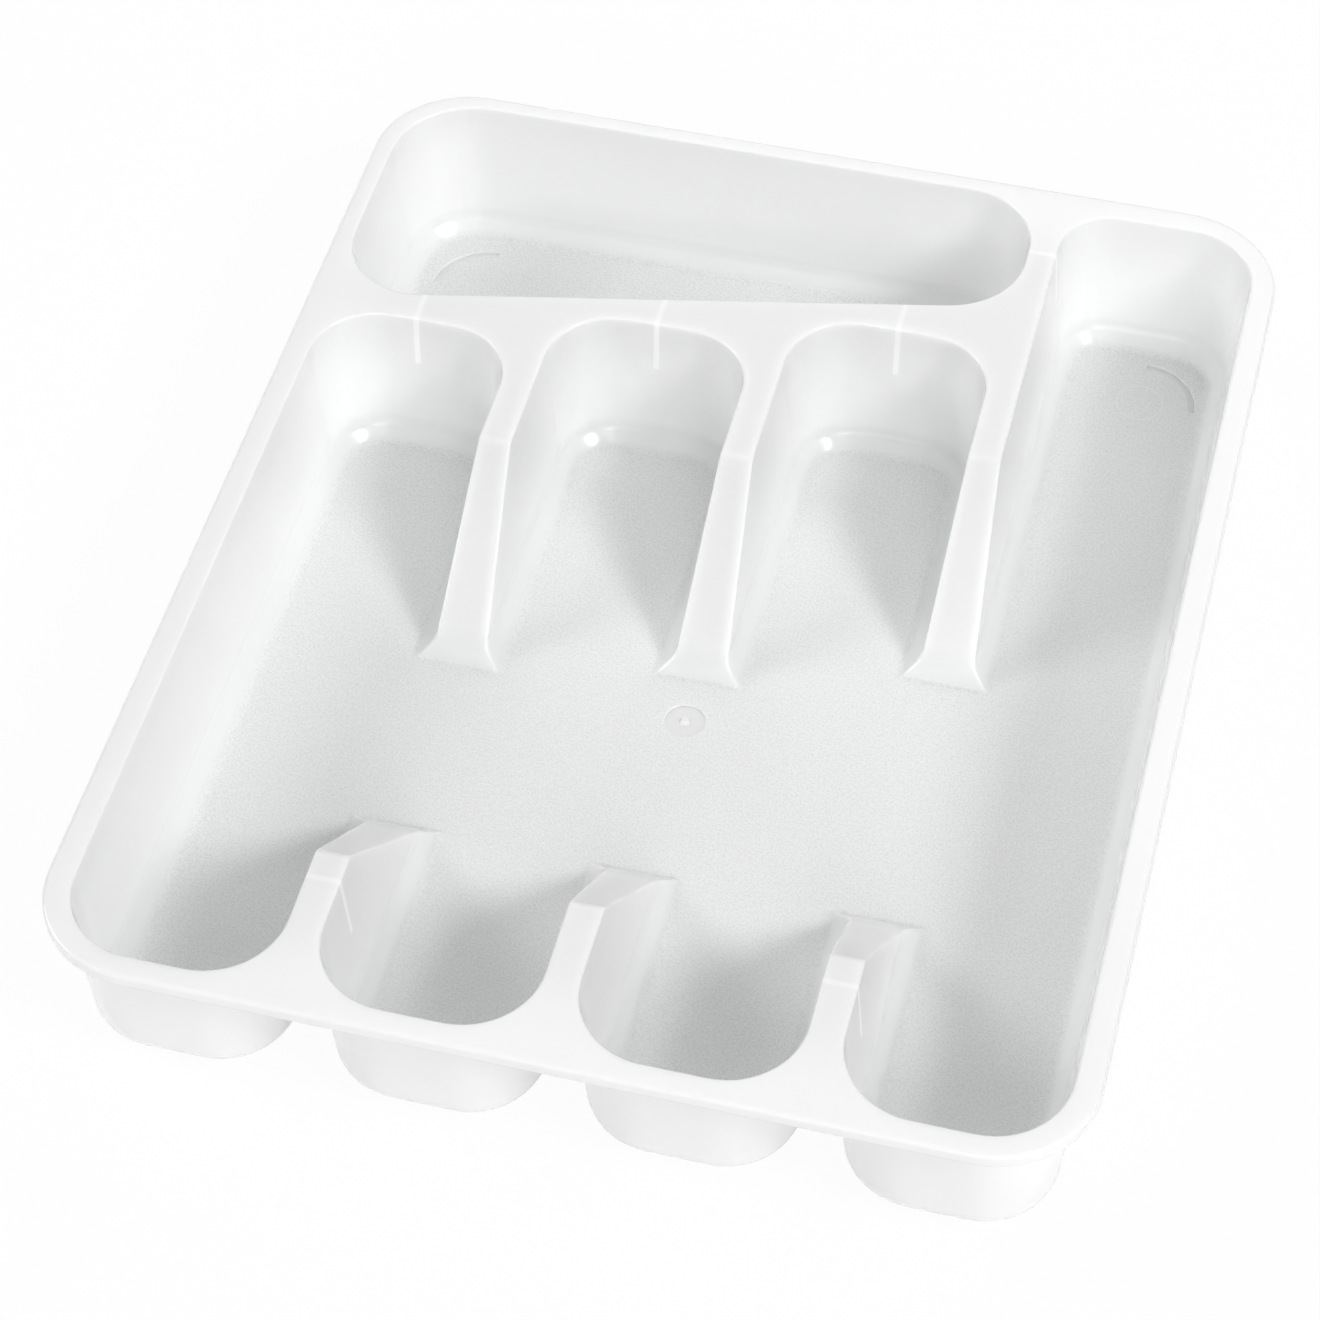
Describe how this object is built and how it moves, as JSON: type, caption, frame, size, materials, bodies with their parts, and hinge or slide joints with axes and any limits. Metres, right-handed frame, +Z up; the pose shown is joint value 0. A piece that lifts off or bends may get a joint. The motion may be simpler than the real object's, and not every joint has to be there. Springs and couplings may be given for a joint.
{
  "type": "cutlery tray",
  "caption": "One-piece translucent cutlery tray with full-length columns, an oblique back compartment and ramped hollow dividers.",
  "frame": {"origin": "middle of the tray's outline, at the height of the underside of its feet", "axes": "+X to the right along the short front edge, +Y to the back along the columns, +Z up out of the compartments"},
  "size_m": [0.26, 0.321, 0.0464],
  "materials": {
    "milky_polypropylene": "milky, translucent, fine satin"
  },
  "bodies": {
    "root": {"tray_moulding": "milky_polypropylene"}
  },
  "joints": []
}
